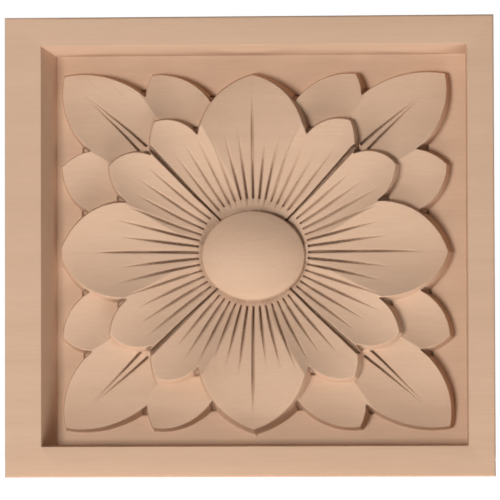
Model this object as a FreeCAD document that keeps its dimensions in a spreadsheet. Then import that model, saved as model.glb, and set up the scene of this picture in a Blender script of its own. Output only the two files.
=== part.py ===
import FreeCAD, Part
import os

import Sketcher

# Corner rosette block: one piece of wood with a sunk panel and a carved flower in it.
# The block is carved lying on its back (x right, y up the face, z out of the wall) and is
# then stood up against the wall, with the carved face looking along -Y and +Z up.

NODE = "rosette_block"

SIZES = {
    # blank and sunk panel
    "block_width": 108.0,
    "block_height": 101.6,
    "block_thickness": 22.0,
    "arris_ease": 0.2,
    "border_left": 8.0,
    "border_right": 6.1,
    "border_top": 6.3,
    "border_bottom": 6.9,
    "panel_depth": 8.0,
    # how far each wall of the panel runs inward on its way down
    "wall_run_left": 2.3,
    "wall_run_right": 0.5,
    "wall_run_top": 2.2,
    "wall_run_bottom": 0.7,
    # place of the flower's centre on the face, from the middle of the block
    "flower_x": 0.8,
    "flower_y": -0.8,
    # heights above the ground: tops of the outlines, and floors of the hollows at their crowns
    "petal_top": 7.7,
    "petal_floor": 4.9,
    "small_petal_floor": 5.4,
    "leaf_top": 4.4,
    "leaf_floor": 3.0,
    "lobe_floor": 3.2,
    # slopes of the cut walls
    "petal_draft": 12.0,
    "leaf_draft": 9.0,
    # four main petals: two equal arcs that meet in a point
    "side_petal_reach": 43.3,
    "side_petal_half_width": 10.5,
    "side_petal_round": 16.0,
    "upright_petal_reach": 40.2,
    "upright_petal_half_width": 12.2,
    "upright_petal_round": 18.5,
    # small petal beside the upright one: tip, and two arcs by radius and bearing of the centre
    "high_petal_x": 21.6,
    "high_petal_y": 28.4,
    "high_petal_outer_round": 8.0,
    "high_petal_outer_bearing": 248.0,
    "high_petal_inner_round": 13.5,
    "high_petal_inner_bearing": 202.0,
    "high_petal_axis": 54.0,
    # small petal beside the side one
    "low_petal_x": 31.9,
    "low_petal_y": 18.4,
    "low_petal_outer_round": 10.0,
    "low_petal_outer_bearing": 178.0,
    "low_petal_inner_round": 8.5,
    "low_petal_inner_bearing": 220.0,
    "low_petal_axis": 33.0,
    # corner leaf: main lobe and two side lobes
    "leaf_x": 42.6,
    "leaf_y": 39.4,
    "leaf_upper_round": 23.0,
    "leaf_upper_bearing": 260.0,
    "leaf_lower_round": 17.5,
    "leaf_lower_bearing": 192.0,
    "leaf_axis": 42.8,
    "high_lobe_x": 22.6,
    "high_lobe_y": 39.7,
    "high_lobe_outer_round": 14.0,
    "high_lobe_outer_bearing": 262.0,
    "high_lobe_inner_round": 12.0,
    "high_lobe_inner_bearing": 208.0,
    "high_lobe_axis": 64.0,
    "low_lobe_x": 43.2,
    "low_lobe_y": 18.9,
    "low_lobe_outer_round": 11.5,
    "low_lobe_outer_bearing": 180.0,
    "low_lobe_inner_round": 12.0,
    "low_lobe_inner_bearing": 226.0,
    "low_lobe_axis": 21.0,
    # hollows: distance from the flower's centre where the floor is measured, radius across,
    # and how the floor runs: arched along a main petal, rising or falling along the others
    "petal_crown": 28.0,
    "petal_hollow": 27.0,
    "petal_arch": 80.0,
    "small_petal_hollow": 16.0,
    "small_petal_rise": 9.0,
    "leaf_crown": 45.0,
    "leaf_hollow": 30.0,
    "lobe_crown": 39.0,
    "lobe_hollow": 20.0,
    "leaf_fall": 3.0,
    # core that the petals grow from, and the button on it
    "core_radius": 25.0,
    "button_half_width": 11.7,
    "button_half_height": 10.3,
    "button_top": 7.5,
    "button_round": 21.0,
    "button_drop": 0.9,
    # veins: V-cuts that fan out from beside the button
    "vein_start": 12.6,
    "vein_depth": 0.85,
    "vein_width": 0.85,
    "vein_height": 1.3,
    "side_vein_reach": 28.0,
    "upright_vein_reach": 24.8,
    "long_vein_start": 21.0,
    "long_vein_depth": 0.3,
    "long_vein_reach": 36.5,
    # deep cuts on the diagonals, between the small petals
    "parting_start": 10.0,
    "parting_reach": 33.0,
    "parting_width": 1.9,
    "parting_height": 3.6,
    "parting_depth": 0.9,
    "parting_end_depth": 2.6,
    # double midrib of each corner leaf
    "midrib_start": 33.5,
    "midrib_end": 53.5,
    "midrib_half_gap": 1.0,
    "midrib_depth": 0.9,
    "midrib_width": 1.1,
    "midrib_height": 1.5,
}

# The veins divide the circle evenly; every seventh lies on a diagonal or on a petal's axis.
VEINS = 56
VEINS_PER_QUARTER = VEINS // 4
VEIN_STEP = 360 / VEINS

# The main petals: name, kind and bearing of the axis.
MAIN_PETALS = [
    ("east_petal", "side_petal", 0),
    ("north_petal", "upright_petal", 90),
    ("west_petal", "side_petal", 180),
    ("south_petal", "upright_petal", 270),
]

# The four quarters of the carving, as the signs of x and y.
QUARTERS = [(1, 1), (-1, 1), (-1, -1), (1, -1)]

# The carving is rooted in the wood under the panel, to this share of the wood left there.
ROOT_SHARE = 0.1
# The core is cut away under the button, to this share of the button's half height.
SEAT_SHARE = 0.9
# The petals' hollows start under the button, at this share of its half height.
HOLLOW_START_SHARE = 0.75

doc = FreeCAD.newDocument("corner_rosette")
sheet = doc.addObject("Spreadsheet::Sheet", "sizes")
for row, (alias, size) in enumerate(SIZES.items(), start=1):
    sheet.set(f"A{row}", alias)
    sheet.set(f"B{row}", str(size))
    sheet.setAlias(f"B{row}", alias)
doc.recompute()

GROUND = "(sizes.block_thickness - sizes.panel_depth)"
ROOT_DEPTH = f"({ROOT_SHARE} * {GROUND})"
HOLLOW_START = f"({HOLLOW_START_SHARE} * sizes.button_half_height)"


def bound(kind, name, **formulas):
    """A document object whose properties follow formulas of the sheet's sizes."""
    thing = doc.addObject(kind, name)
    for prop, formula in formulas.items():
        thing.setExpression(prop, formula)
    return thing


def cut(name, base, tool):
    thing = doc.addObject("Part::Cut", name)
    thing.Base = base
    thing.Tool = tool
    return thing


def fuse(name, shapes):
    thing = doc.addObject("Part::MultiFuse", name)
    thing.Shapes = shapes
    return thing


def outline_sketch(body):
    """The block's outline: a rectangle round the middle of the body's XY plane."""
    sketch = body.newObject("Sketcher::SketchObject", "block_outline")
    plane = next(f for f in body.Origin.OriginFeatures if f.Role == "XY_Plane")
    sketch.AttachmentSupport = [(plane, "")]
    sketch.MapMode = "FlatFace"
    points = [FreeCAD.Vector(x, y, 0) for x, y in [(-1, -1), (1, -1), (1, 1), (-1, 1)]]
    for start, end in zip(points, points[1:] + points[:1]):
        sketch.addGeometry(Part.LineSegment(start, end))
    for side in range(4):
        sketch.addConstraint(Sketcher.Constraint("Coincident", side, 2, (side + 1) % 4, 1))
    for side, direction in enumerate(["Horizontal", "Vertical", "Horizontal", "Vertical"]):
        sketch.addConstraint(Sketcher.Constraint(direction, side))
    drivers = [
        ("width", Sketcher.Constraint("DistanceX", 0, 1, 0, 2, 2.0), "sizes.block_width"),
        ("height", Sketcher.Constraint("DistanceY", 1, 1, 1, 2, 2.0), "sizes.block_height"),
        ("left", Sketcher.Constraint("DistanceX", 0, 1, -1, 1, 1.0), "sizes.block_width / 2"),
        ("bottom", Sketcher.Constraint("DistanceY", 0, 1, -1, 1, 1.0), "sizes.block_height / 2"),
    ]
    for label, constraint, formula in drivers:
        sketch.renameConstraint(sketch.addConstraint(constraint), label)
        sketch.setExpression(f"Constraints.{label}", formula)
    return sketch


def panel_cutter():
    """The hollow of the sunk panel: its rim on the face and its smaller ground below."""
    left = "(sizes.block_width / 2 - sizes.border_left)"
    right = "(sizes.block_width / 2 - sizes.border_right)"
    top = "(sizes.block_height / 2 - sizes.border_top)"
    bottom = "(sizes.block_height / 2 - sizes.border_bottom)"
    return bound(
        "Part::Wedge",
        "panel",
        Xmin=f"sizes.wall_run_left - {left}",
        Xmax=f"{right} - sizes.wall_run_right",
        X2min=f"-{left}",
        X2max=right,
        Ymin="0",
        Ymax="sizes.panel_depth",
        Zmin=f"sizes.wall_run_top - {top}",
        Zmax=f"{bottom} - sizes.wall_run_bottom",
        Z2min=f"-{top}",
        Z2max=bottom,
        Placement=f"placement(vector(0; 0; {GROUND}); rotationx(90))",
    )


def carved_blank():
    """The block with eased front arrises and its sunk panel."""
    body = doc.addObject("PartDesign::Body", "blank")
    pad = body.newObject("PartDesign::Pad", "block")
    pad.Profile = outline_sketch(body)
    pad.setExpression("Length", "sizes.block_thickness")
    doc.recompute()

    arris = body.newObject("PartDesign::Chamfer", "front_arris")
    front = pad.Shape.BoundBox.ZMax
    front_edges = [
        f"Edge{number}"
        for number, edge in enumerate(pad.Shape.Edges, start=1)
        if all(abs(vertex.Z - front) < 1e-6 for vertex in edge.Vertexes)
    ]
    arris.Base = (pad, front_edges)
    arris.setExpression("Size", "sizes.arris_ease")
    doc.recompute()
    return cut("sunk_panel", body, panel_cutter())


def cone(name, x, y, radius, top, draft):
    """A cone standing in the block, of this radius at height top above the ground."""
    depth = f"({top} + {ROOT_DEPTH})"
    return bound(
        "Part::Cone",
        name,
        Radius1=f"{radius} + {depth} * tan({draft})",
        Radius2=radius,
        Height=depth,
        Placement=f"placement(vector(sizes.flower_x + {x}; sizes.flower_y + {y}; "
        f"{GROUND} - {ROOT_DEPTH}); rotationz(0))",
    )


def pointed_form(name, arcs, top, draft):
    """A petal or lobe between two arcs, each given as (x, y, radius), with sloping walls."""
    form = doc.addObject("Part::MultiCommon", name)
    form.Shapes = [
        cone(f"{name}_arc{number}", x, y, radius, top, draft)
        for number, (x, y, radius) in enumerate(arcs, start=1)
    ]
    return form


def ring_gouge(name, bearing):
    """A ring-shaped cutter that leaves a main petal hollow across and arched along its axis."""
    crown, floor = "sizes.petal_crown", "sizes.petal_floor"
    across, along = "sizes.petal_hollow", "sizes.petal_arch"
    return bound(
        "Part::Torus",
        name,
        Radius1=f"{along} + {across}",
        Radius2=across,
        Angle3=f"90 deg + asin(({crown} - {HOLLOW_START}) / {along})",
        Placement=f"placement(vector(sizes.flower_x + {crown} * cos({bearing}); "
        f"sizes.flower_y + {crown} * sin({bearing}); {GROUND} + {floor} - {along}); "
        f"rotationz({bearing}) * rotationx(90))",
    )


def bar_gouge(name, bearing, crown, floor, across, fall):
    """A round bar-shaped cutter that leaves a form hollow across and falling to its tip.

    It lies from the flower's centre outward and passes the crown at height floor.
    """
    return bound(
        "Part::Cylinder",
        name,
        Radius=across,
        Height=f"2 * {crown}",
        Placement=f"placement(vector(sizes.flower_x + {crown} * (1 - cos({fall})) * cos({bearing}); "
        f"sizes.flower_y + {crown} * (1 - cos({fall})) * sin({bearing}); "
        f"{GROUND} + {floor} + {across} + {crown} * sin({fall})); "
        f"rotationz({bearing}) * rotationy(90 + {fall}))",
    )


def v_cut(name, start, end, bearing, width, height, origin=("0", "0")):
    """A V-shaped cutter with a straight keel from start to end, each a (distance, height)
    pair on a line at this bearing through origin, in the flower's frame."""
    (near, low), (far, high) = start, end
    run = f"({far} - {near})"
    rise = f"({high} - {low})"
    x, y = origin
    return bound(
        "Part::Wedge",
        name,
        Xmin=f"-{width} / 2",
        Xmax=f"{width} / 2",
        X2min="0",
        X2max="0",
        Ymin=f"-{height}",
        Ymax="0",
        Zmin="0",
        Zmax=f"sqrt({run}^2 + {rise}^2)",
        Z2min="0",
        Z2max=f"sqrt({run}^2 + {rise}^2)",
        Placement=f"placement(vector(sizes.flower_x + {x} + {near} * cos({bearing}); "
        f"sizes.flower_y + {y} + {near} * sin({bearing}); {GROUND} + {low}); "
        f"rotationz({bearing}) * rotationy(-atan({rise} / {run})) * rotationz(-90) * rotationx(-90))",
    )


def turned(bearing, quarter):
    """The bearing of a first-quarter axis, mirrored into another quarter."""
    right, up = quarter
    return f"({up} * {bearing})" if right > 0 else f"(180 - {up} * {bearing})"


def arcs_from_tip(form, sides, quarter):
    """The two arcs of a form: each centre lies at its bearing and radius from the tip."""
    right, up = quarter
    arcs = []
    for side in sides:
        radius = f"sizes.{form}_{side}_round"
        bearing = f"sizes.{form}_{side}_bearing"
        x = f"{right} * (sizes.{form}_x + {radius} * cos({bearing}))"
        y = f"{up} * (sizes.{form}_y + {radius} * sin({bearing}))"
        arcs.append((x, y, radius))
    return arcs


def main_petal(name, form, bearing):
    """A main petal on an axis of the flower, between two equal arcs."""
    radius = f"sizes.{form}_round"
    half_width = f"sizes.{form}_half_width"
    length = f"sqrt(2 * {radius} * {half_width} - {half_width}^2)"
    along = f"(sizes.{form}_reach - {length})"
    across = f"({radius} - {half_width})"
    arcs = [
        (
            f"({along} * cos({bearing}) - {sign} * {across} * sin({bearing}))",
            f"({along} * sin({bearing}) + {sign} * {across} * cos({bearing}))",
            radius,
        )
        for sign in (1, -1)
    ]
    return pointed_form(name, arcs, "sizes.petal_top", "sizes.petal_draft")


def button_place(height):
    """Placement of the button's pieces, at this height above the ground."""
    return (
        "placement(vector(sizes.flower_x; sizes.flower_y - sizes.button_drop; "
        f"{GROUND} + {height}); rotationz(0))"
    )


def seat():
    """A round cutter that clears the core where the button will stand."""
    return bound(
        "Part::Cylinder",
        "seat",
        Radius=f"{SEAT_SHARE} * sizes.button_half_height",
        Height="sizes.petal_top",
        Placement=button_place("0"),
    )


def rough_flower():
    """All the petals on their core, each hollowed out from under the button to its tip."""
    forms = [cone("core", "0", "0", "sizes.core_radius", "sizes.petal_top", "sizes.petal_draft")]
    gouges = []
    for name, form, bearing in MAIN_PETALS:
        forms.append(main_petal(name, form, bearing))
        gouges.append(ring_gouge(f"{name}_gouge", bearing))
    for number, quarter in enumerate(QUARTERS, start=1):
        for form in ("high_petal", "low_petal"):
            name = f"{form}{number}"
            arcs = arcs_from_tip(form, ("outer", "inner"), quarter)
            forms.append(pointed_form(name, arcs, "sizes.petal_top", "sizes.petal_draft"))
            tool = bar_gouge(
                f"{name}_gouge",
                turned(f"sizes.{form}_axis", quarter),
                "sizes.petal_crown",
                "sizes.small_petal_floor",
                "sizes.small_petal_hollow",
                "(-sizes.small_petal_rise)",
            )
            gouges.append(tool)
    flower = cut("button_seat", fuse("petals", forms), seat())
    for tool in gouges:
        flower = cut(f"{tool.Name}_cut", flower, tool)
    return flower


def petal_height(distance, lean="0"):
    """Height of a main petal at this distance from the centre, on a line lean off its axis."""
    return (
        f"(sizes.petal_floor - ({distance} * cos({lean}) - sizes.petal_crown)^2 / (2 * sizes.petal_arch)"
        f" + ({distance} * sin({lean}))^2 / (2 * sizes.petal_hollow))"
    )


def small_petal_height(distance, lean):
    """The same for a small petal."""
    return (
        f"(sizes.small_petal_floor + ({distance} * cos({lean}) - sizes.petal_crown)"
        f" * tan(sizes.small_petal_rise) + ({distance} * sin({lean}))^2 / (2 * sizes.small_petal_hollow))"
    )


def vein_keel(step):
    """The ends of the vein this many steps round from a side petal's axis."""
    turn = step * VEIN_STEP
    low = 2 * step < VEINS_PER_QUARTER
    far = "sizes.side_vein_reach" if low else "sizes.upright_vein_reach"
    main_lean = str(turn if low else 90 - turn)
    small_lean = f"({turn} - sizes.{'low' if low else 'high'}_petal_axis)"

    def surface(distance):
        return f"min({petal_height(distance, main_lean)}; {small_petal_height(distance, small_lean)})"

    near = "sizes.vein_start"
    return (near, f"({surface(near)} - sizes.vein_depth)"), (far, surface(far))


def vein_cutters():
    """Fine V-cuts that fan out over the petals from beside the button."""
    cutters = []
    for number in range(VEINS):
        quarter, step = divmod(number, VEINS_PER_QUARTER)
        if quarter % 2:
            step = VEINS_PER_QUARTER - step
        if 2 * step == VEINS_PER_QUARTER:
            continue  # the deep parting on the diagonal lies here
        start, end = vein_keel(step)
        bearing = str(number * VEIN_STEP)
        cutters.append(
            v_cut(f"vein{number}", start, end, bearing, "sizes.vein_width", "sizes.vein_height")
        )
    return cutters


def long_vein_cutters():
    """A second stroke that carries the vein on each main petal's axis out to near its tip."""
    near, far = "sizes.long_vein_start", "sizes.long_vein_reach"
    start = (near, f"({petal_height(near)} - sizes.long_vein_depth)")
    end = (far, petal_height(far))
    return [
        v_cut(f"{name}_vein", start, end, str(bearing), "sizes.vein_width", "sizes.vein_height")
        for name, form, bearing in MAIN_PETALS
    ]


def parting_cutters():
    """Deep V-cuts on the diagonals, which part the small petals and deepen to their notch."""
    lean = "(sizes.high_petal_axis - 45)"
    near, far = "sizes.parting_start", "sizes.parting_reach"
    start = (near, f"({small_petal_height(near, lean)} - sizes.parting_depth)")
    end = (far, f"({small_petal_height(far, lean)} - sizes.parting_end_depth)")
    return [
        v_cut(
            f"parting{number}",
            start,
            end,
            turned("45", quarter),
            "sizes.parting_width",
            "sizes.parting_height",
        )
        for number, quarter in enumerate(QUARTERS, start=1)
    ]


def together(name, shapes):
    """Cutters that don't touch each other, as one tool."""
    group = doc.addObject("Part::Compound", name)
    group.Links = shapes
    return group


def carved_flower():
    flower = rough_flower()
    for name, cutters in [
        ("veins", vein_cutters()),
        ("long_veins", long_vein_cutters()),
        ("partings", parting_cutters()),
    ]:
        flower = cut(f"{name}_cut", flower, together(name, cutters))
    return flower


def midrib_cutters():
    """Two V-cuts that run together at the leaf's tip, with a rib left standing between them."""
    axis = "sizes.leaf_axis"
    run = "(sizes.midrib_end - sizes.midrib_start)"
    spread = f"atan(sizes.midrib_half_gap / {run})"
    tip = (f"sizes.midrib_end * cos({axis})", f"sizes.midrib_end * sin({axis})")

    def axis_height(distance):
        return f"(sizes.leaf_floor - ({distance} - sizes.leaf_crown) * tan(sizes.leaf_fall))"

    start = ("0", axis_height("sizes.midrib_end"))
    end = (run, f"({axis_height('sizes.midrib_start')} - sizes.midrib_depth)")
    return [
        v_cut(
            f"midrib{number}",
            start,
            end,
            f"({axis} * 1 deg + 180 deg + {sign} * {spread})",
            "sizes.midrib_width",
            "sizes.midrib_height",
            origin=tip,
        )
        for number, sign in enumerate((1, -1), start=1)
    ]


def corner_leaf():
    """The three-lobed leaf of the first quarter, hollowed lobe by lobe and given its midrib."""
    quarter = QUARTERS[0]
    lobes = [
        ("leaf", ("upper", "lower"), "sizes.leaf_crown", "sizes.leaf_floor", "sizes.leaf_hollow"),
        ("high_lobe", ("outer", "inner"), "sizes.lobe_crown", "sizes.lobe_floor", "sizes.lobe_hollow"),
        ("low_lobe", ("outer", "inner"), "sizes.lobe_crown", "sizes.lobe_floor", "sizes.lobe_hollow"),
    ]
    forms = []
    for form, sides, crown, floor, across in lobes:
        arcs = arcs_from_tip(form, sides, quarter)
        forms.append(pointed_form(f"{form}_form", arcs, "sizes.leaf_top", "sizes.leaf_draft"))
    leaf = fuse("lobes", forms)
    for form, sides, crown, floor, across in lobes:
        tool = bar_gouge(f"{form}_gouge", f"sizes.{form}_axis", crown, floor, across, "sizes.leaf_fall")
        leaf = cut(f"{form}_hollow", leaf, tool)
    for tool in midrib_cutters():
        leaf = cut(f"{tool.Name}_cut", leaf, tool)
    return leaf


def mirrored(name, source, normal):
    """A copy on the other side of the flower's upright or level centre plane."""
    copy = doc.addObject("Part::Mirroring", name)
    copy.Source = source
    copy.Normal = normal
    copy.setExpression("Base", "vector(sizes.flower_x; sizes.flower_y; 0)")
    return copy


def all_leaves():
    leaf = corner_leaf()
    left = mirrored("left_leaf", leaf, FreeCAD.Vector(1, 0, 0))
    lower = [
        mirrored("lower_right_leaf", leaf, FreeCAD.Vector(0, 1, 0)),
        mirrored("lower_left_leaf", left, FreeCAD.Vector(0, 1, 0)),
    ]
    return [leaf, left] + lower


def button():
    """The low oval button at the flower's heart, set a little below its centre."""
    outline = bound(
        "Part::Ellipse",
        "button_outline",
        MajorRadius="sizes.button_half_width",
        MinorRadius="sizes.button_half_height",
        Placement=button_place(f"-{ROOT_DEPTH}"),
    )
    stem = bound("Part::Extrusion", "button_stem", LengthFwd=f"sizes.button_top + {ROOT_DEPTH}")
    stem.Base = outline
    stem.DirMode = "Custom"
    stem.Dir = FreeCAD.Vector(0, 0, 1)
    stem.Solid = True
    dome = bound(
        "Part::Sphere",
        "button_dome",
        Radius="sizes.button_round",
        Placement=button_place("sizes.button_top - sizes.button_round"),
    )
    form = doc.addObject("Part::MultiCommon", "button")
    form.Shapes = [stem, dome]
    return form


block = fuse("rosette", [carved_blank(), *all_leaves(), carved_flower(), button()])
block.Label = NODE
block.Placement = FreeCAD.Placement(FreeCAD.Vector(), FreeCAD.Rotation(FreeCAD.Vector(1, 0, 0), 90))
doc.recompute()

faults = [thing.Label for thing in doc.Objects if {"Invalid", "Error"} & set(thing.State)]
if faults:
    raise RuntimeError("these did not build: " + ", ".join(faults))
if block.Shape.isNull() or not block.Shape.isValid() or len(block.Shape.Solids) != 1:
    raise RuntimeError("the block is not one sound solid")

os.makedirs("parts", exist_ok=True)
block.Shape.exportStep(f"parts/{NODE}.step")
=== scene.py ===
import math

import bpy
import numpy as np
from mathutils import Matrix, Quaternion, Vector
from mathutils.bvhtree import BVHTree


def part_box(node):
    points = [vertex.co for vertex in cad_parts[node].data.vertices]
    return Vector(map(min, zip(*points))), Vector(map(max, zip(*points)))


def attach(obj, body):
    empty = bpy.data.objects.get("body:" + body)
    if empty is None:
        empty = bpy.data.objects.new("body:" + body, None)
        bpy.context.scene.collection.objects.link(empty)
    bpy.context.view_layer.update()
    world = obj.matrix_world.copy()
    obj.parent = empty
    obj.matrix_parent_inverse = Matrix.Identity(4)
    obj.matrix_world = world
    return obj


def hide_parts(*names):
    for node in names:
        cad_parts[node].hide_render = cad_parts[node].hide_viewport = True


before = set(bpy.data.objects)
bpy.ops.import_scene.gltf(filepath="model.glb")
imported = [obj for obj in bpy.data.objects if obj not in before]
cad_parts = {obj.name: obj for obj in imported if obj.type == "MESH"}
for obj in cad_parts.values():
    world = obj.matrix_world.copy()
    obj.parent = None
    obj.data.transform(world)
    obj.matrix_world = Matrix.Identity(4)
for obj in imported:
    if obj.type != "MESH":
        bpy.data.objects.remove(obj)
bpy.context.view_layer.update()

NODE = "rosette_block"
MM = 0.001

# Front face of the visual block: spacing of the grid that the carving is read on, rays per cell
# side, how far the rays start before the face and stay inside its edges, and the radius that
# softens every arris, as sanding does. The mesh is then thinned, and edges over an angle in
# degrees stay sharp.
GRID_STEP = 0.16 * MM
RAYS_PER_CELL = 2
RAY_MARGIN = 0.02 * MM
ARRIS_SOFTNESS = 0.07 * MM
TRIANGLE_BUDGET = 190_000
SHARP_ANGLE = 28.0

# Hand carving wanders from the drawn pattern about the flower's centre: the share of the drawn
# size that was cut across and up, how far it all sits to the right and up, and how much further
# the leaves and small petals of each corner sit, which grows outward over a ring.
FLOWER_X = 0.8 * MM
FLOWER_Z = -0.8 * MM
CARVING_SCALE = (0.972, 0.957)
CARVING_SHIFT = (-0.4 * MM, 0.0)
CORNER_WANDER = {
    (1, 1): (0.8 * MM, 1.6 * MM),
    (-1, 1): (-0.4 * MM, 1.5 * MM),
    (-1, -1): (-0.2 * MM, -0.8 * MM),
    (1, -1): (1.6 * MM, -0.6 * MM),
}
CORNER_RING = (18.0 * MM, 38.0 * MM)

# Walls of the sunk panel: the top one as it was cut, the bottom one, and the left one, which was
# cut back after the leaves as far as their tips.
TOP_WALL = 2.2 * MM
BOTTOM_WALL = 0.8 * MM
LEFT_WALL = 2.9 * MM
LEFT_TIPS = -41.9 * MM

# The panel's rim does not wander. For its left, right, bottom and top side: where the rim is,
# which way is outward, the strip inside it that keeps to its wall, how far that strip's inner
# edge sits outward of its drawn place, and the margin over which the carving's wander comes in.
PANEL = (-46.0 * MM, 47.9 * MM, -43.9 * MM, 44.5 * MM)
OUTWARD = ((-1, 0), (1, 0), (0, -1), (0, 1))
HELD_STRIP = (0.3 * MM, 0.3 * MM, 0.3 * MM, TOP_WALL)
FOOT_SHIFT = (0.0, 0.0, 0.0, 1.4 * MM)
PANEL_MARGIN = (3.0 * MM, 2.3 * MM, 2.3 * MM, 3.2 * MM)

# Fine grooves are cut crisper than the softened grid shows them: the width and depth up to
# which a groove counts as fine, and how much of its depth is added again.
FINE_GROOVE = 1.2 * MM
FINE_DEPTH = 1.6 * MM
GROOVE_GAIN = 0.8

# Veins on the petals: how many divide the circle, and how each is cut in millimetres, from its
# gap beside the button, over its run in and run out, to its reach sideways, upward or on an axis.
VEINS = 56
BUTTON_HALF_WIDTH = 11.7
BUTTON_HALF_HEIGHT = 10.3
BUTTON_DROP = 0.9
VEIN_GAP = 0.8
VEIN_RUN_IN = 2.4
VEIN_RUN_OUT = 9.0
VEIN_REACH_UP = 28.0
VEIN_REACH_SIDE = 31.0
AXIS_VEIN_REACH = 37.5
VEIN_DEPTH = 0.7
VEIN_HALF_WIDTH = 0.38

# Veins vary as a hand cuts them: how far their starts and ends differ, in millimetres, the step
# of each difference from one vein to the next, and how much deeper the lowest ones are than
# those at the sides.
VEIN_START_VARIES = 0.5
VEIN_END_VARIES = 1.2
VEIN_START_STEP = 2.4
VEIN_END_STEP = 1.7
LOWER_VEIN_GAIN = 0.3
TINY = 1e-6

# The cut walls lean as the tools were held: for each millimetre of depth the carving moves this
# far to the right and down, so walls are steep on the left and top and flatter opposite.
WALL_LEAN = 0.07

# Painted shade darkens the fine grooves, where shade falls: the groove depth that is fully dark,
# how far the tone spreads, and the share of light that is left there.
GROOVE_SHADE_DEPTH = 0.6 * MM
GROOVE_SHADE_SPREAD = 0.12 * MM
GROOVE_SHADE_LEFT = 0.65

# The back arris is a little broken, like the front one.
BACK_EASE = 0.4 * MM

# Wood: the two tones of its soft bands, its sheen, and for bands and fibres the stretch along the
# grain, the scale and the detail of the noise. The noise is used between its low and high marks.
# The fibres change the tone a little and stand up a little.
WOOD_DARK = (0.596, 0.394, 0.268, 1)
WOOD_LIGHT = (0.628, 0.420, 0.290, 1)
WOOD_ROUGHNESS = 0.7
WOOD_SPECULAR = 0.12
BANDS = ((0.06, 1.0, 1.0), 260.0, 3.0)
FIBRES = ((0.05, 1.0, 1.0), 2600.0, 2.0)
NOISE_LOW = 0.3
NOISE_HIGH = 0.7
FIBRE_TONE = 0.025
FIBRE_STRENGTH = 0.15
FIBRE_HEIGHT = 0.05 * MM

# Floor: its side in metres, its colour, and how much it glows to the camera.
FLOOR_SIDE = 6.0
FLOOR_COLOUR = (0.8, 0.8, 0.8, 1)
FLOOR_GLOW = 0.96
WHITE = (1, 1, 1, 1)

# The photograph's view: from a little to the right of the block and a little below its middle.
VIEW_AZIMUTH = 3.0
VIEW_ELEVATION = -2.5
VIEW_DISTANCE = 1.0
VIEW_ROLL = -0.17
AIM_X = 0.21 * MM
AIM_Z = -0.86 * MM
LENS = 327.0
SENSOR = 36.0
NEAREST_SEEN = 0.01

# Lamps: the direction to each as right, out of the wall and up, its side in metres, and its
# strength, which is the brightness of a white card that faces it. The photograph is lit from
# below, so the low lamps and the front one stand lower than the floor.
LAMP_DISTANCE = 1.2
LAMPS = {
    "low_key": ((0.165, 0.309, -0.937), 0.60, 0.65),
    "low_right": ((0.497, 0.50, -0.709), 0.60, 0.22),
    "front": ((-0.42, 0.90, -0.11), 0.32, 0.72),
    "overhead": ((0.0, 0.21, 0.98), 0.50, 0.05),
    "back": ((0.35, -0.93, 0.10), 0.60, 0.45),
}
FILL_STRENGTH = 0.04


def wander(x, z):
    """How far right and up the carving was cut from its drawn place, at points of the face."""
    across = x - FLOWER_X
    along = z - FLOWER_Z
    right = CARVING_SHIFT[0] + across * (1 - 1 / CARVING_SCALE[0])
    up = CARVING_SHIFT[1] + along * (1 - 1 / CARVING_SCALE[1])
    distance = np.hypot(across, along)
    inner, outer = CORNER_RING
    grown = np.clip((distance - inner) / (outer - inner), 0, 1)
    diagonal = grown * 2 * np.abs(across * along) / np.maximum(distance, MM) ** 2
    for (side_x, side_z), (shift_x, shift_z) in CORNER_WANDER.items():
        there = (across * side_x > 0) & (along * side_z > 0)
        right += np.where(there, diagonal * shift_x, 0)
        up += np.where(there, diagonal * shift_z, 0)
    left, right_edge, bottom, top = PANEL
    insides = (x - left, right_edge - x, z - bottom, top - z)
    sides = zip(insides, HELD_STRIP, FOOT_SHIFT, PANEL_MARGIN, OUTWARD)
    for inside, strip, foot, margin, (out_x, out_z) in sides:
        wall = foot * np.clip(inside / strip, 0, 1)
        free = np.clip((inside - strip) / margin, 0, 1)
        right = out_x * wall * (1 - free) + right * free
        up = out_z * wall * (1 - free) + up * free
    return right, up


def front_heights(node, xs, zs):
    """The carved front on a grid: x, y and z where rays meet it, as the mean of a few a cell."""
    mesh = node.data
    corners = [vertex.co.copy() for vertex in mesh.vertices]
    mesh.calc_loop_triangles()
    faces = [tuple(triangle.vertices) for triangle in mesh.loop_triangles]
    tree = BVHTree.FromPolygons(corners, faces)
    low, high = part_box(NODE)
    forward = Vector((-WALL_LEAN, 1, WALL_LEAN)).normalized()
    start_y = low[1] - RAY_MARGIN
    offsets = [((i + 0.5) / RAYS_PER_CELL - 0.5) * GRID_STEP for i in range(RAYS_PER_CELL)]
    grid_x, grid_z = np.meshgrid(xs, zs)
    total = np.zeros(grid_x.shape + (3,))
    for dz in offsets:
        for dx in offsets:
            at_x = grid_x + dx
            at_z = grid_z + dz
            right, up = wander(at_x, at_z)
            at_x = np.clip(at_x - right, low[0] + RAY_MARGIN, high[0] - RAY_MARGIN)
            at_z = np.clip(at_z - up, low[2] + RAY_MARGIN, high[2] - RAY_MARGIN)
            hits = [
                tree.ray_cast(Vector((x, start_y, z)), forward)[0]
                for x, z in zip(at_x.ravel().tolist(), at_z.ravel().tolist())
            ]
            total += np.array(hits).reshape(total.shape)
    return np.moveaxis(total / len(offsets) ** 2, -1, 0)


def spread(field, reach, pick):
    """The field with each value replaced by the largest or smallest within reach, in grid steps."""
    padded = np.pad(field, reach, mode="edge")
    size = 2 * reach + 1
    rows = pick.reduce([padded[i : i + field.shape[0], :] for i in range(size)])
    return pick.reduce([rows[:, i : i + field.shape[1]] for i in range(size)])


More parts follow.
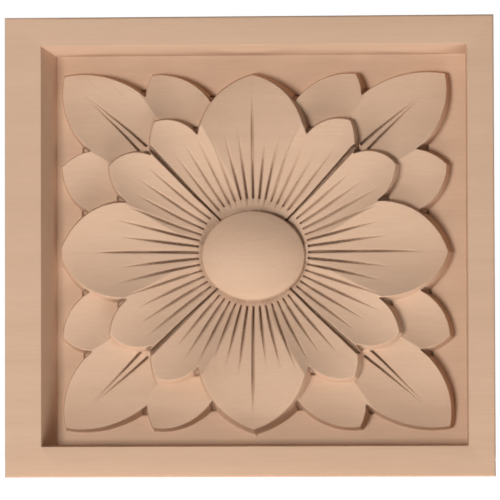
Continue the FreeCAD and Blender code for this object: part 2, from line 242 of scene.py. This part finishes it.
def softened(field, radius):
    """The field after a Gaussian blur of this radius, in grid steps, with its edges held."""
    reach = int(math.ceil(3 * radius))
    steps = np.arange(-reach, reach + 1)
    weights = np.exp(-0.5 * (steps / radius) ** 2)
    weights /= weights.sum()
    padded = np.pad(field, reach, mode="edge")
    rows = sum(w * padded[i : i + field.shape[0], :] for i, w in enumerate(weights))
    return sum(w * rows[:, i : i + field.shape[1]] for i, w in enumerate(weights))


def vein_depths(x, z):
    """Depth of the veins at points of the drawn pattern: V-cuts that taper at both ends."""
    across = (x - FLOWER_X) / MM
    along = (z - FLOWER_Z) / MM
    distance = np.hypot(across, along)
    turn = np.arctan2(along, across)
    step = 2 * math.pi / VEINS
    number = np.round(turn / step).astype(int)
    off = np.abs(distance * np.sin(turn - number * step))
    edge = np.hypot(across / BUTTON_HALF_WIDTH, (along + BUTTON_DROP) / BUTTON_HALF_HEIGHT) - 1
    gap = VEIN_GAP + VEIN_START_VARIES * (1 + np.sin(VEIN_START_STEP * number))
    run_in = np.clip((edge * BUTTON_HALF_HEIGHT - gap) / VEIN_RUN_IN, 0, 1)
    reach = VEIN_REACH_UP + (VEIN_REACH_SIDE - VEIN_REACH_UP) * np.cos(turn) ** 2
    reach = np.where(number % (VEINS // 4) == 0, AXIS_VEIN_REACH, reach)
    reach = reach + VEIN_END_VARIES * np.cos(VEIN_END_STEP * number)
    run_out = np.clip((reach - distance) / VEIN_RUN_OUT, 0, 1)
    cut = run_in * run_out
    deepest = VEIN_DEPTH * (1 - LOWER_VEIN_GAIN * np.sin(turn)) * cut
    depth = deepest * np.clip(1 - off / (VEIN_HALF_WIDTH * np.sqrt(cut) + TINY), 0, 1)
    parting = number % (VEINS // 4) == VEINS // 8
    return np.where(parting, 0, depth) * MM


def left_wall(heights, xs, zs):
    """Depths with the panel's left wall cut back, so that ground shows beside the leaf tips."""
    grid_x, grid_z = np.meshgrid(xs, zs)
    left, _, bottom, top = PANEL
    slopes = [
        (grid_x - left) / LEFT_WALL,
        (grid_z - bottom) / BOTTOM_WALL,
        (top - grid_z) / TOP_WALL,
    ]
    share = np.clip(np.minimum.reduce(slopes), 0, 1)
    face = heights.min()
    cut = face + share * (heights.max() - face)
    return np.where(grid_x < LEFT_TIPS, np.maximum(heights, cut), heights)


def carved_depths(node, xs, zs):
    """Depth of the carving on a grid with its fine grooves cut crisp, and their own depth."""
    at_x, heights, at_z = front_heights(node, xs, zs)
    heights = left_wall(heights, xs, zs)
    reach = round(FINE_GROOVE / GRID_STEP / 2)
    filled = spread(spread(heights, reach, np.minimum), reach, np.maximum)
    fine = np.where(xs > LEFT_TIPS, heights - filled, 0)
    shallow = np.clip(2 - 2 * fine / FINE_DEPTH, 0, 1)
    grooves = np.maximum((1 + GROOVE_GAIN) * fine * shallow, vein_depths(at_x, at_z))
    depths = np.maximum(heights, filled + grooves)
    return softened(depths, ARRIS_SOFTNESS / GRID_STEP), grooves


def block_mesh(node):
    """A closed mesh of the block: carved front on a fine grid, plain sides and back."""
    low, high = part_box(NODE)
    columns = round((high[0] - low[0]) / GRID_STEP) + 1
    rows = round((high[2] - low[2]) / GRID_STEP) + 1
    xs = np.linspace(low[0], high[0], columns)
    zs = np.linspace(low[2], high[2], rows)
    heights, grooves = carved_depths(node, xs, zs)

    grid_x, grid_z = np.meshgrid(xs, zs)
    points = np.stack([grid_x, heights, grid_z], axis=-1).reshape(-1, 3).tolist()
    index = np.arange(rows * columns).reshape(rows, columns)
    faces = np.stack(
        [index[:-1, :-1], index[:-1, 1:], index[1:, 1:], index[1:, :-1]], axis=-1
    ).reshape(-1, 4).tolist()

    rim = np.concatenate([index[0, :-1], index[:-1, -1], index[-1, :0:-1], index[:0:-1, 0]]).tolist()
    centre_x = (low[0] + high[0]) / 2
    centre_z = (low[2] + high[2]) / 2
    shrink_x = 1 - 2 * BACK_EASE / (high[0] - low[0])
    shrink_z = 1 - 2 * BACK_EASE / (high[2] - low[2])
    above = rim
    for y, scale_x, scale_z in [(high[1] - BACK_EASE, 1, 1), (high[1], shrink_x, shrink_z)]:
        ring = []
        for corner in rim:
            x, _, z = points[corner]
            ring.append(len(points))
            eased_x = centre_x + (x - centre_x) * scale_x
            eased_z = centre_z + (z - centre_z) * scale_z
            points.append([eased_x, y, eased_z])
        for k in range(len(rim)):
            after = (k + 1) % len(rim)
            faces.append([above[after], above[k], ring[k], ring[after]])
        above = ring
    faces.append(above)

    mesh = bpy.data.meshes.new("carved_block")
    mesh.from_pydata(points, [], faces)
    mesh.validate()
    return mesh, xs, zs, grooves


def apply_modifiers(obj):
    """Gives obj the mesh that its modifiers make, and removes them."""
    depsgraph = bpy.context.evaluated_depsgraph_get()
    mesh = bpy.data.meshes.new_from_object(obj.evaluated_get(depsgraph))
    obj.modifiers.clear()
    obj.data = mesh


def nearest(steps, places):
    """Number of the grid step that lies nearest to each place."""
    number = np.round((places - steps[0]) / (steps[1] - steps[0])).astype(int)
    return np.clip(number, 0, len(steps) - 1)


def paint_groove_shade(mesh, xs, zs, grooves):
    """Marks on each vertex how deep it lies in a fine groove, for the painted shade there."""
    tone = np.clip(softened(grooves, GROOVE_SHADE_SPREAD / GRID_STEP) / GROOVE_SHADE_DEPTH, 0, 1)
    places = np.empty(len(mesh.vertices) * 3)
    mesh.vertices.foreach_get("co", places)
    places = places.reshape(-1, 3)
    columns = nearest(xs, places[:, 0])
    rows = nearest(zs, places[:, 2])
    front = places[:, 1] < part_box(NODE)[1][1] - 2 * BACK_EASE
    marks = mesh.attributes.new("groove", "FLOAT", "POINT")
    marks.data.foreach_set("value", np.where(front, tone[rows, columns], 0).astype(np.float32))


def carved_block():
    """The visual block: its mesh, thinned, with sharp edges and the painted shade of its grooves."""
    mesh, xs, zs, grooves = block_mesh(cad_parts[NODE])
    block = bpy.data.objects.new("carved_block", mesh)
    bpy.context.scene.collection.objects.link(block)
    triangles = sum(len(face.vertices) - 2 for face in block.data.polygons)
    thin = block.modifiers.new("thin", "DECIMATE")
    thin.ratio = min(1.0, TRIANGLE_BUDGET / triangles)
    apply_modifiers(block)
    block.data.shade_smooth()
    block.data.set_sharp_from_angle(angle=math.radians(SHARP_ANGLE))
    paint_groove_shade(block.data, xs, zs, grooves)
    return block


def node_of(tree, kind, **values):
    """A new shader node of this kind, with these settings."""
    node = tree.nodes.new(kind)
    for key, value in values.items():
        setattr(node, key, value)
    return node


def wood_material():
    """Pale, close-grained hardwood, sanded and left bare, with the grain along X."""
    material = bpy.data.materials.new("wood")
    material.use_nodes = True
    tree = material.node_tree
    tree.nodes.clear()
    link = tree.links.new

    output = node_of(tree, "ShaderNodeOutputMaterial")
    shader = node_of(tree, "ShaderNodeBsdfPrincipled")
    shader.inputs["Roughness"].default_value = WOOD_ROUGHNESS
    shader.inputs["Specular IOR Level"].default_value = WOOD_SPECULAR
    link(shader.outputs[0], output.inputs[0])

    place = node_of(tree, "ShaderNodeTexCoord")

    def noise(stretch, scale, detail):
        squeeze = node_of(tree, "ShaderNodeMapping")
        squeeze.inputs["Scale"].default_value = stretch
        link(place.outputs["Object"], squeeze.inputs["Vector"])
        texture = node_of(tree, "ShaderNodeTexNoise")
        texture.inputs["Scale"].default_value = scale
        texture.inputs["Detail"].default_value = detail
        link(squeeze.outputs[0], texture.inputs["Vector"])
        return texture.outputs[0]

    bands = noise(*BANDS)
    fibres = noise(*FIBRES)

    ramp = node_of(tree, "ShaderNodeValToRGB")
    ramp.color_ramp.elements[0].position = NOISE_LOW
    ramp.color_ramp.elements[0].color = WOOD_DARK
    ramp.color_ramp.elements[1].position = NOISE_HIGH
    ramp.color_ramp.elements[1].color = WOOD_LIGHT
    link(bands, ramp.inputs[0])

    shade = node_of(tree, "ShaderNodeMapRange")
    shade.inputs["From Min"].default_value = NOISE_LOW
    shade.inputs["From Max"].default_value = NOISE_HIGH
    shade.inputs["To Min"].default_value = 1 - FIBRE_TONE
    shade.inputs["To Max"].default_value = 1 + FIBRE_TONE
    link(fibres, shade.inputs["Value"])

    # Painted shade: the colour of the fine grooves is darkened by their depth.
    marks = node_of(tree, "ShaderNodeAttribute", attribute_name="groove")
    darken = node_of(tree, "ShaderNodeMapRange")
    darken.inputs["To Min"].default_value = 1.0
    darken.inputs["To Max"].default_value = GROOVE_SHADE_LEFT
    link(marks.outputs["Fac"], darken.inputs["Value"])

    colour = ramp.outputs[0]
    for share in [shade.outputs[0], darken.outputs[0]]:
        product = node_of(tree, "ShaderNodeMix", data_type="RGBA", blend_type="MULTIPLY")
        product.inputs["Factor"].default_value = 1.0
        link(colour, product.inputs["A"])
        link(share, product.inputs["B"])
        colour = product.outputs["Result"]
    link(colour, shader.inputs["Base Color"])

    bump = node_of(tree, "ShaderNodeBump")
    bump.inputs["Strength"].default_value = FIBRE_STRENGTH
    bump.inputs["Distance"].default_value = FIBRE_HEIGHT
    link(fibres, bump.inputs["Height"])
    link(bump.outputs[0], shader.inputs["Normal"])
    return material


def seen(tree):
    """A value that is 1 for rays that show the background: from the camera, metal or glass."""
    rays = node_of(tree, "ShaderNodeLightPath")
    shown = rays.outputs["Is Camera Ray"]
    for kind in ["Is Glossy Ray", "Is Transmission Ray"]:
        either = node_of(tree, "ShaderNodeMath", operation="MAXIMUM")
        tree.links.new(shown, either.inputs[0])
        tree.links.new(rays.outputs[kind], either.inputs[1])
        shown = either.outputs[0]
    return shown


def white_stage():
    """A pale floor under the block that keeps its shadow and looks white to the camera.

    It casts no shadow itself, so that light from the low lamps comes through it.
    """
    low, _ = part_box(NODE)
    bpy.ops.mesh.primitive_plane_add(size=FLOOR_SIDE, location=(0, 0, low[2]))
    floor = bpy.context.object
    floor.name = "floor"
    floor.visible_shadow = False
    material = bpy.data.materials.new("floor")
    material.use_nodes = True
    tree = material.node_tree
    tree.nodes.clear()
    output = node_of(tree, "ShaderNodeOutputMaterial")
    pale = node_of(tree, "ShaderNodeBsdfDiffuse")
    pale.inputs["Color"].default_value = FLOOR_COLOUR
    glow = node_of(tree, "ShaderNodeEmission")
    glow.inputs["Strength"].default_value = FLOOR_GLOW
    both = node_of(tree, "ShaderNodeAddShader")
    choose = node_of(tree, "ShaderNodeMixShader")
    tree.links.new(pale.outputs[0], both.inputs[0])
    tree.links.new(glow.outputs[0], both.inputs[1])
    tree.links.new(seen(tree), choose.inputs[0])
    tree.links.new(pale.outputs[0], choose.inputs[1])
    tree.links.new(both.outputs[0], choose.inputs[2])
    tree.links.new(choose.outputs[0], output.inputs[0])
    floor.data.materials.append(material)


def studio():
    """The lamps, and an even world that looks white to the camera."""
    for name, (towards, side, strength) in LAMPS.items():
        lamp = bpy.data.lights.new(name, "AREA")
        lamp.size = side
        lamp.energy = strength * (math.pi * LAMP_DISTANCE) ** 2
        holder = bpy.data.objects.new(name, lamp)
        right, out, up = towards
        direction = Vector((right, -out, up)).normalized()
        holder.location = direction * LAMP_DISTANCE
        holder.rotation_euler = direction.to_track_quat("Z", "Y").to_euler()
        bpy.context.scene.collection.objects.link(holder)

    world = bpy.data.worlds.new("studio")
    bpy.context.scene.world = world
    world.use_nodes = True
    tree = world.node_tree
    tree.nodes.clear()
    output = node_of(tree, "ShaderNodeOutputWorld")
    soft = node_of(tree, "ShaderNodeBackground")
    soft.inputs["Color"].default_value = WHITE
    soft.inputs["Strength"].default_value = FILL_STRENGTH
    white = node_of(tree, "ShaderNodeBackground")
    white.inputs["Color"].default_value = WHITE
    choose = node_of(tree, "ShaderNodeMixShader")
    tree.links.new(seen(tree), choose.inputs[0])
    tree.links.new(soft.outputs[0], choose.inputs[1])
    tree.links.new(white.outputs[0], choose.inputs[2])
    tree.links.new(choose.outputs[0], output.inputs[0])


def camera():
    """The photograph's view of the front."""
    low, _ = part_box(NODE)
    azimuth = math.radians(VIEW_AZIMUTH)
    elevation = math.radians(VIEW_ELEVATION)
    towards = Vector(
        (
            math.sin(azimuth) * math.cos(elevation),
            -math.cos(azimuth) * math.cos(elevation),
            math.sin(elevation),
        )
    )
    data = bpy.data.cameras.new("photo")
    data.lens = LENS
    data.sensor_width = SENSOR
    data.clip_start = NEAREST_SEEN
    eye = bpy.data.objects.new("photo", data)
    eye.location = Vector((0, low[1], 0)) + towards * VIEW_DISTANCE
    aim = Vector((AIM_X, low[1], AIM_Z))
    roll = Quaternion((0, 0, 1), math.radians(VIEW_ROLL))
    eye.rotation_euler = ((aim - eye.location).to_track_quat("-Z", "Y") @ roll).to_euler()
    bpy.context.scene.collection.objects.link(eye)
    bpy.context.scene.camera = eye


block = carved_block()
block.data.materials.clear()
block.data.materials.append(wood_material())
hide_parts(NODE)
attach(block, "root")

white_stage()
studio()
camera()
bpy.context.scene.view_settings.view_transform = "Standard"
